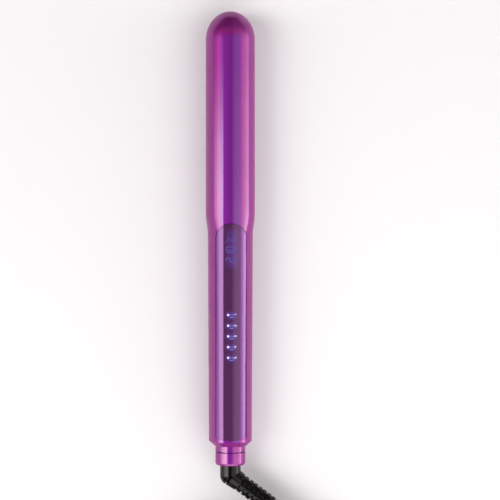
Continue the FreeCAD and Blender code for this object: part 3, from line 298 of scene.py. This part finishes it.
def lacquer(name, stops, rough, dome, ripple, **constants):
    """A tone that goes with the angle to the eye, partly painted reflection, under the sharp reflections of
    the moulding's surface.
    """
    made, tree, shader = start(name, **constants)
    facing = add(tree, "LayerWeight", {"Blend": 0.5}).outputs["Facing"]
    # Painted reflection in part: the base colour follows the angle to the eye
    tree.links.new(ramp(tree, facing, stops), shader.inputs["Base Color"])
    sheen = noise(tree, 9.0, 3.0, 0.6)
    tree.links.new(between(tree, sheen, *rough), shader.inputs["Roughness"])
    normal = moulded(tree, dome, ripple)
    tree.links.new(normal, shader.inputs["Normal"])
    tree.links.new(normal, shader.inputs["Coat Normal"])
    return made


# Fine metal flake in purple lacquer: violet face on and magenta as it turns away. This tone by the angle
# to the eye is partly painted reflection: a lighter band just off face on, and paler towards the edges. The
# clear coat mirrors strongly but counts for a fifth, so the window and the glow lie on it as crisp stripes
# that don't grow white towards the edges.
PURPLE_WITH_PAINTED_SHEEN = [(0.0, "#78128e"), (0.018, "#7c148c"), (0.035, "#941a88"), (0.06, "#9a2682"), (0.12, "#8c1e80"),
          (0.3, "#88187e"), (0.5, "#8c187e"), (0.75, "#962286"), (1.0, "#b04c98")]
CLEAR_COAT = {"Coat_Weight": 0.19, "Coat_IOR": 3.0, "Coat_Roughness": 0.03, "Metallic": 0.6,
              "Specular_IOR_Level": 0.2}
shell_lacquer_and_sheen = lacquer("purple_flake_lacquer_painted_sheen", PURPLE_WITH_PAINTED_SHEEN, rough=(0.4, 0.5), dome=1.6, ripple=0.012,
                        **CLEAR_COAT)
ring_lacquer_and_sheen = lacquer("purple_flake_ring_painted_sheen", PURPLE_WITH_PAINTED_SHEEN, rough=(0.4, 0.5), dome=0.0, ripple=0.006, **CLEAR_COAT)

# The lens over its mask: greyish violet face on, clearer violet beside it. This tone by the angle to the eye
# is partly painted reflection: darker in the middle and lighter in a band beside it.
SMOKE_WITH_PAINTED_SHEEN = [(0.0, "#4a234a"), (0.015, "#4e264e"), (0.03, "#6f2f7c"), (0.06, "#803c90"), (0.12, "#743a84"),
         (0.3, "#70387c"), (1.0, "#74407c")]


def math_node(tree, operation, *values):
    """Result of one calculation with its values in their order."""
    made = add(tree, "Math", dict(enumerate(values)), operation=operation)
    return made.outputs[0]


def beyond(tree, value, low, high):
    """How far a value lies outside the stretch from low to high, in millimetres."""
    under = math_node(tree, "SUBTRACT", low, value)
    over = math_node(tree, "SUBTRACT", value, high)
    return math_node(tree, "MAXIMUM", math_node(tree, "MAXIMUM", under, over), 0.0)


def halo(tree, x, y, reach):
    """1 on a lamp, falling smoothly to 0 at the reach, from its distances along x and y."""
    square_x, square_y = math_node(tree, "MULTIPLY", x, x), math_node(tree, "MULTIPLY", y, y)
    far = math_node(tree, "SQRT", math_node(tree, "ADD", square_x, square_y))
    return add(tree, "MapRange", {"Value": far, "From Max": reach, "To Min": 1.0, "To Max": 0.0},
               interpolation_type="SMOOTHERSTEP").outputs["Result"]


def smoked_lens():
    """Smoked violet lens over a dark mask, darker and glassier than the shell, with painted shade of the gap
    round it as a dark violet edge.

    Lamp light spreads inside it: a long halo round the read-out and a row of round ones at the marks.
    """
    made = lacquer("smoked_violet_lens_painted_light", SMOKE_WITH_PAINTED_SHEEN, rough=(0.04, 0.07), dome=1.6, ripple=0.0, IOR=1.85,
                   Specular_Tint="#d0a8de")
    tree = made.node_tree
    shader = tree.nodes["Principled BSDF"]
    spot = add(tree, "SeparateXYZ", {"Vector": place(tree)}).outputs
    x, y = spot["X"], spot["Y"]

    side = math_node(tree, "ABSOLUTE", x)
    forward = math_node(tree, "MAXIMUM", math_node(tree, "SUBTRACT", y, LENS_ARCH_Y), 0.0)
    out = math_node(tree, "SQRT", math_node(tree, "ADD", math_node(tree, "MULTIPLY", side, side),
                                            math_node(tree, "MULTIPLY", forward, forward)))
    # Painted shade: the gap round the lens drawn as a dark violet line along its edge
    gap_shade = add(tree, "MapRange", {"Value": out, "From Min": LENS_GAP_SHADE[0], "From Max": LENS_GAP_SHADE[1]})
    base = shader.inputs["Base Color"].links[0].from_socket
    tree.links.new(blend(tree, gap_shade.outputs["Result"], base, "#2a0c34"), shader.inputs["Base Color"])

    beside = math_node(tree, "SUBTRACT", x, READ_OUT_X)
    long_halo = halo(tree, beside, beyond(tree, y, *READ_OUT), READ_OUT_REACH)
    along = math_node(tree, "PINGPONG", math_node(tree, "SUBTRACT", y, MARKS_START), MARK_STEP / 2)
    last = MARKS_START - MARK_STEP * (MARKS - 1)
    past = beyond(tree, y, last, MARKS_START)
    near = math_node(tree, "MAXIMUM", along, past)
    round_halo = halo(tree, beyond(tree, x, *MARKS_ACROSS), near, MARK_REACH)
    light = math_node(tree, "ADD", math_node(tree, "MULTIPLY", long_halo, READ_OUT_POWER),
                      math_node(tree, "MULTIPLY", round_halo, MARK_POWER))
    shader.inputs["Emission Color"].default_value = linear("#6a4ce0")
    tree.links.new(light, shader.inputs["Emission Strength"])
    return made


# By slot name; after the two tones of a plain finish stand its roughness, patch, grain and grain depth
finishes = {
    "metallised_purple": shell_lacquer_and_sheen,
    "smoked_violet": smoked_lens(),
    # Moulded nylon and rubber: nearly black, a satin sheen over a fine spark-eroded grain
    "black_moulding": finish("black_moulding", "#0e0b0a", "#070605", (0.17, 0.26), 5, 0.25, 0.004),
    # Coated aluminium plates: dark, slightly glittering ceramic paint
    "coated_plate": finish("coated_plate", "#4b4650", "#39343f", (0.28, 0.4), 3, 0.2, 0.006, Metallic=0.6),
    # Rolled steel: bright along the rolling direction
    "spring_steel": finish("spring_steel", "#c3c1bd", "#a8a6a3", (0.2, 0.34), 2, 0.2, 0.004, (1, 0.15, 1),
                           Metallic=1.0),
    # Nickel plating: smooth, slightly warm mirror
    "nickel": finish("nickel", "#d3cec4", "#bdb7ab", (0.14, 0.26), 4, 0.3, 0.0008, Metallic=1.0),
    # Brass of sliding contacts: golden, dulled a little in patches
    "contact_brass": finish("contact_brass", "#d8b36a", "#b98f45", (0.22, 0.36), 1.5, 0.2, 0.004,
                            Metallic=1.0),
    # Fired ceramic of the heaters: matt, creamy white
    "ceramic_white": finish("ceramic_white", "#e6e2d8", "#d9d3c6", (0.45, 0.6), 3, 0.2, 0.006),
    # Heat-proof silicone: brick red and matt
    "silicone": finish("silicone", "#b8543f", "#a34836", (0.5, 0.62), 2, 0.2, 0.006),
    # Solder mask: green with a soft lacquer sheen
    "board_green": finish("board_green", "#1f6a3c", "#185530", (0.3, 0.42), 4, 0.3, 0.006),
    # Moulded housings of electronic parts: matt and nearly black
    "component_black": finish("component_black", "#1e1e20", "#151517", (0.5, 0.62), 2, 0.15, 0.006),
    # Unlit lamp lenses: pale blue and glossy
    "lamp_blue": finish("lamp_blue", "#a9c4ff", "#86a8f5", (0.2, 0.3), 1.5, 0.2, 0.0),
    # Woven glass sleeve: matt, straw-coloured, coarser than the rest
    "wire_sleeve": finish("wire_sleeve", "#dcd8c9", "#cbc6b4", (0.6, 0.75), 1.5, 0.25, 0.02),
    # Insulation of thin leads: off-white with a dull sheen
    "lead_white": finish("lead_white", "#e4e2dd", "#d3d0c9", (0.4, 0.52), 2, 0.2, 0.004),
    # Jacket of the cord: warm black, duller than the boot
    "cord_black": finish("cord_black", "#14110f", "#0b0909", (0.36, 0.48), 7, 0.3, 0.01),
    # Rubber strap of the tie: nearly black, satin
    "tie_black": finish("tie_black", "#191818", "#101010", (0.35, 0.5), 3, 0.2, 0.006),
    # Tinned can of the fuse: light grey metal
    "fuse_metal": finish("fuse_metal", "#c9c8c6", "#b4b2af", (0.2, 0.32), 1.5, 0.2, 0.003, Metallic=1.0),
}

cord.data.materials.append(finishes["cord_black"])
for node in nodes.values():
    for held in node.material_slots:
        held.material = finishes[held.material.name.split(".")[0]]
for name in ("tail_collar", "lock_cup"):
    nodes[name].material_slots[0].material = ring_lacquer_and_sheen

# Overmoulded vinyl of the elbow and boot: glossier than the nylon, with a warm black tone
black_vinyl = finish("black_vinyl", "#0a0706", "#050302", (0.12, 0.18), 4, 0.5, 0.001,
                     Specular_IOR_Level=0.25)
nodes["strain_relief"].material_slots[0].material = black_vinyl


# The two pieces that reach from the lower arm to the upper one, which give way on the tool as the arms open
# but stand here as fixed copies: node, slot and the heights, in millimetres, between which the piece changes
# from one arm to the other

BENDING = [("opening_spring", "spring_steel", 9.35, 19.65), ("hinge_wires", "wire_sleeve", 9.0, 17.0)]


def bending_piece(node, slot_name, low, high):
    """Copy of the node's mesh, shown in its stead; the slot name and the two heights are not used."""
    made = bpy.data.objects.new(node + "_bending", nodes[node].data.copy())
    bpy.context.collection.objects.link(made)
    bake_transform(made)
    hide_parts(node)


for row in BENDING:
    bending_piece(*row)


# Read-out and marks, shining through the lens: digits read from the boot towards the tip

# Bars of a digit as shares of its width and height, and the bars lit for each sign
SEGMENTS = {"a": (0, 1, 1, 1), "b": (1, 0.5, 1, 1), "c": (1, 0, 1, 0.5), "d": (0, 0, 1, 0),
            "e": (0, 0, 0, 0.5), "f": (0, 0.5, 0, 1), "g": (0, 0.5, 1, 0.5)}
LIT = {"0": "abcdef", "1": "bc", "2": "abdeg", "3": "abcdg", "4": "bcfg", "5": "acdfg", "C": "adef"}


def bar(x1, y1, x2, y2, stroke):
    """Six-sided bar between two points, its pointed ends drawn in a little."""
    one, two = np.array([x1, y1]), np.array([x2, y2])
    way = (two - one) / np.linalg.norm(two - one)
    side = np.array([-way[1], way[0]]) * stroke / 2
    tip, neck = way * stroke * 0.15, way * stroke * 0.6
    return np.array([one + tip, one + neck - side, two - neck - side, two - tip, two - neck + side,
                     one + neck + side])


def digit(sign, foot, left, tall, wide, stroke):
    """Bars of a digit whose foot is at that x, whose top points to -x and which reads towards +y."""
    bars = []
    for name in LIT[sign]:
        p1, q1, p2, q2 = SEGMENTS[name]
        bars.append(bar(foot - tall * q1, left + wide * p1, foot - tall * q2, left + wide * p2, stroke))
    return bars


def disc(x, y, radius, count=20):
    """Outline of a round dot."""
    angle = np.linspace(0, 2 * np.pi, count, endpoint=False)
    return np.column_stack([x + radius * np.cos(angle), y + radius * np.sin(angle)])


def crescent(x, y, wide, tall, thick, count=16):
    """Lower half of an oval ring, thickest in the middle and pointed at both ends."""
    angle = np.linspace(np.pi, 2 * np.pi, count)
    lean = thick * np.sin(angle - np.pi)
    outer = np.column_stack([x + wide * np.cos(angle), y + (tall + lean / 2) * np.sin(angle)])
    inner = np.column_stack([x + wide * np.cos(angle), y + (tall - lean / 2) * np.sin(angle)])
    return np.concatenate([outer, inner[-2:0:-1]])


def square(x, y, half):
    """Outline of a square dot whose sides are twice that half."""
    return np.array([[x - half, y - half], [x + half, y - half], [x + half, y + half], [x - half, y + half]])


def tiles(name, outlines, thick, material):
    """Flat tiles on the lens in one object: each outline is closed above, below and around."""
    points, faces, first = [], [], 0
    for outline in outlines:
        count = len(outline)
        across, along = outline.T
        area = np.sum(across * np.roll(along, -1) - np.roll(across, -1) * along)
        outline = outline if area > 0 else outline[::-1]
        points += [[x, y, LENS_TOP] for x, y in outline]
        points += [[x, y, LENS_TOP + thick] for x, y in outline]
        ring = list(range(first, first + count))
        faces.append(ring[::-1])
        faces.append([corner + count for corner in ring])
        faces += [[one, two, two + count, one + count] for one, two in zip(ring, ring[1:] + ring[:1])]
        first += 2 * count
    mesh = bpy.data.meshes.new(name)
    mesh.from_pydata((np.array(points) * MM).tolist(), [], faces)
    mesh.materials.append(material)
    made = bpy.data.objects.new(name, mesh)
    bpy.context.collection.objects.link(made)
    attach(made, "upper_arm")


def glow(name, colour, power):
    """A lamp seen through the lens: light in its own colour, and in the strongest one whiter in patches."""
    made, tree, shader = start(name, Base_Color="#0c0712", Roughness=0.4, Emission_Strength=power)
    patch = noise(tree, 1.1, 2.0, 0.5)
    hot = "#ffffff" if power > 1 else colour
    tree.links.new(blend(tree, between(tree, patch, 0.0, 1.0), colour, hot), shader.inputs["Emission Color"])
    return made


white_hot = glow("lamp_white_hot", "#efe4ff", 1.05)
blue_lit = glow("lamp_blue_lit", "#7d83ea", 0.8)
dim_lit = glow("lamp_blue_dim", "#6a62c8", 0.62)
echo_lit = glow("lamp_echo", "#4c3fa6", 0.5)

number = [digit(sign, foot=1.7, left=left, tall=4.9, wide=2.3, stroke=0.55)
          for sign, left in zip("210", (-14.9, -11.4, -7.9))]
degree = [digit("C", foot=1.4, left=-1.3, tall=3.2, wide=1.9, stroke=0.45), [disc(-2.9, -2.0, 0.42)]]
tiles("read_out_number", sum(number + degree, []), LIT_TILE, dim_lit)

rows = MARKS_START - MARK_STEP * np.arange(MARKS)
numerals = [digit(str(count), foot=3.35, left=y - 0.4, tall=1.5, wide=0.8, stroke=0.3)
            for count, y in enumerate(rows, 1)]
dots = [disc(-1.95, y, 0.72) for y in rows]
squares = [square(x, y, 0.36) for y in rows for x in (-0.3, 0.85)]
arcs = [crescent(0.2, y - 0.4, wide=2.0, tall=1.3, thick=0.55) for y in rows]
echoes = [square(x, y - 2.9, 0.3) for y in rows for x in (-1.4, -0.2, 1.0, 2.3)]
tiles("mark_dots", dots, LIT_TILE, white_hot)
tiles("mark_numerals", sum(numerals, []), LIT_TILE, white_hot)
tiles("mark_squares", squares, LIT_TILE, blue_lit)
tiles("mark_arcs", arcs, FAINT_TILE, blue_lit)
tiles("mark_echoes", echoes, FAINT_TILE, echo_lit)


# Studio: a pale floor, a room with a soft window on the left and a glow on the right, and a softbox
# behind the tail that lights the floor

def softbox(name, angle, distance, width, length, radiance, colour):
    """Rectangle at an angle from straight up towards the tail, facing the tool.

    An even area light of radiance L has the power pi * L * area.
    """
    data = bpy.data.lights.new(name, "AREA")
    data.shape, data.size, data.size_y = "RECTANGLE", length, width
    data.energy = math.pi * radiance * width * length
    data.color = linear(colour)[:3]
    made = bpy.data.objects.new(name, data)
    bpy.context.collection.objects.link(made)
    turn = math.radians(angle)
    spot = Vector((0, distance * math.sin(turn), distance * math.cos(turn)))
    made.matrix_world = Matrix.Translation(spot) @ Matrix.Rotation(-turn, 4, "X")


def plane(name, half, height, material):
    """Level square whose sides are twice that half."""
    mesh = bpy.data.meshes.new(name)
    corners = [(-half, -half, height), (half, -half, height), (half, half, height), (-half, half, height)]
    mesh.from_pydata(corners, [], [(0, 1, 2, 3)])
    mesh.materials.append(material)
    made = bpy.data.objects.new(name, mesh)
    bpy.context.collection.objects.link(made)
    return made


def grey(level):
    """Hex code of a linear grey."""
    part = 12.92 * level if level <= 0.0031308 else 1.055 * level ** (1 / 2.4) - 0.055
    return "#" + 3 * f"{round(255 * part):02x}"


def profile(tree, value, stops):
    """Brightness along a direction's component, from stops of a place (-1 to 1) and a level (0 to 1)."""
    share = add(tree, "MapRange", {"Value": value, "From Min": -1.0}).outputs["Result"]
    return ramp(tree, share, [((spot + 1) / 2, grey(level)) for spot, level in stops])


# Lights of the room: strength, colour, sideways profile (-1 left, 1 right), lengthways profile (-1 towards
# the tail, 1 towards the tip). The tool's flanks mirror them as its two lengthways highlights, and these
# fade towards the tip as the lengthways profiles do.
WINDOW = (6.8, "#fffafa",
          [(-1, 0), (-0.98, 0.35), (-0.88, 0.8), (-0.7, 1), (-0.55, 1), (-0.46, 0.75), (-0.4, 0)],
          [(-0.3, 0), (-0.2, 1), (0.04, 1), (0.066, 0.75), (0.086, 0.45), (0.105, 0.2), (0.125, 0.06),
           (0.2, 0)])
GLOW = (20.0, "#fffafc",
        [(0.12, 0), (0.22, 0.028), (0.34, 0.056), (0.46, 0.072), (0.6, 0.076), (0.75, 0.08), (0.85, 0.09),
         (0.93, 0.15), (1.0, 0.32)],
        [(-0.6, 0.2), (-0.4, 1), (0.02, 1), (0.05, 0.72), (0.09, 0.62), (0.125, 0.42), (0.3, 0.35),
         (0.6, 0.1)])
ROOM = (0.2, "#fff8fa", [(-1, 1), (1, 1)], [(-0.3, 1.0), (0.1, 1.0), (0.5, 0.3)])


def sky():
    """Dim studio room with a soft window on the left and a broad glow on the right, dark overhead."""
    made = bpy.data.worlds.new("studio")
    bpy.context.scene.world = made
    made.use_nodes = True
    tree = made.node_tree
    way = add(tree, "TexCoord").outputs["Generated"]
    across, along, _ = add(tree, "SeparateXYZ", {"Vector": way}).outputs
    whole = None
    for power, colour, sideways, lengthways in (WINDOW, GLOW, ROOM):
        share = add(tree, "Mix", {"Factor": 1.0}, data_type="RGBA", blend_type="MULTIPLY")
        tree.links.new(profile(tree, across, sideways), share.inputs[6])
        tree.links.new(profile(tree, along, lengthways), share.inputs[7])
        tinted = add(tree, "Mix", {"Factor": 1.0}, data_type="RGBA", blend_type="MULTIPLY")
        tree.links.new(share.outputs[2], tinted.inputs[6])
        tinted.inputs[7].default_value = linear(colour)
        light = add(tree, "Background", {"Color": tinted.outputs[2], "Strength": power}).outputs[0]
        if whole is None:
            whole = light
        else:
            both = add(tree, "AddShader")
            tree.links.new(whole, both.inputs[0])
            tree.links.new(light, both.inputs[1])
            whole = both.outputs[0]
    tree.links.new(whole, tree.nodes["World Output"].inputs["Surface"])


# Matt white paper without a sheen, so that only the soft shadow shows on it
paper = start("paper_white", Base_Color="#f1f1f1", Roughness=0.9, Specular_IOR_Level=0.0)[0]
plane("floor", half=4.0, height=-0.0002, material=paper)
sky()
softbox("tail_softbox", angle=-50, distance=1.3, width=1.0, length=2.2, radiance=2.1, colour="#ffffff")
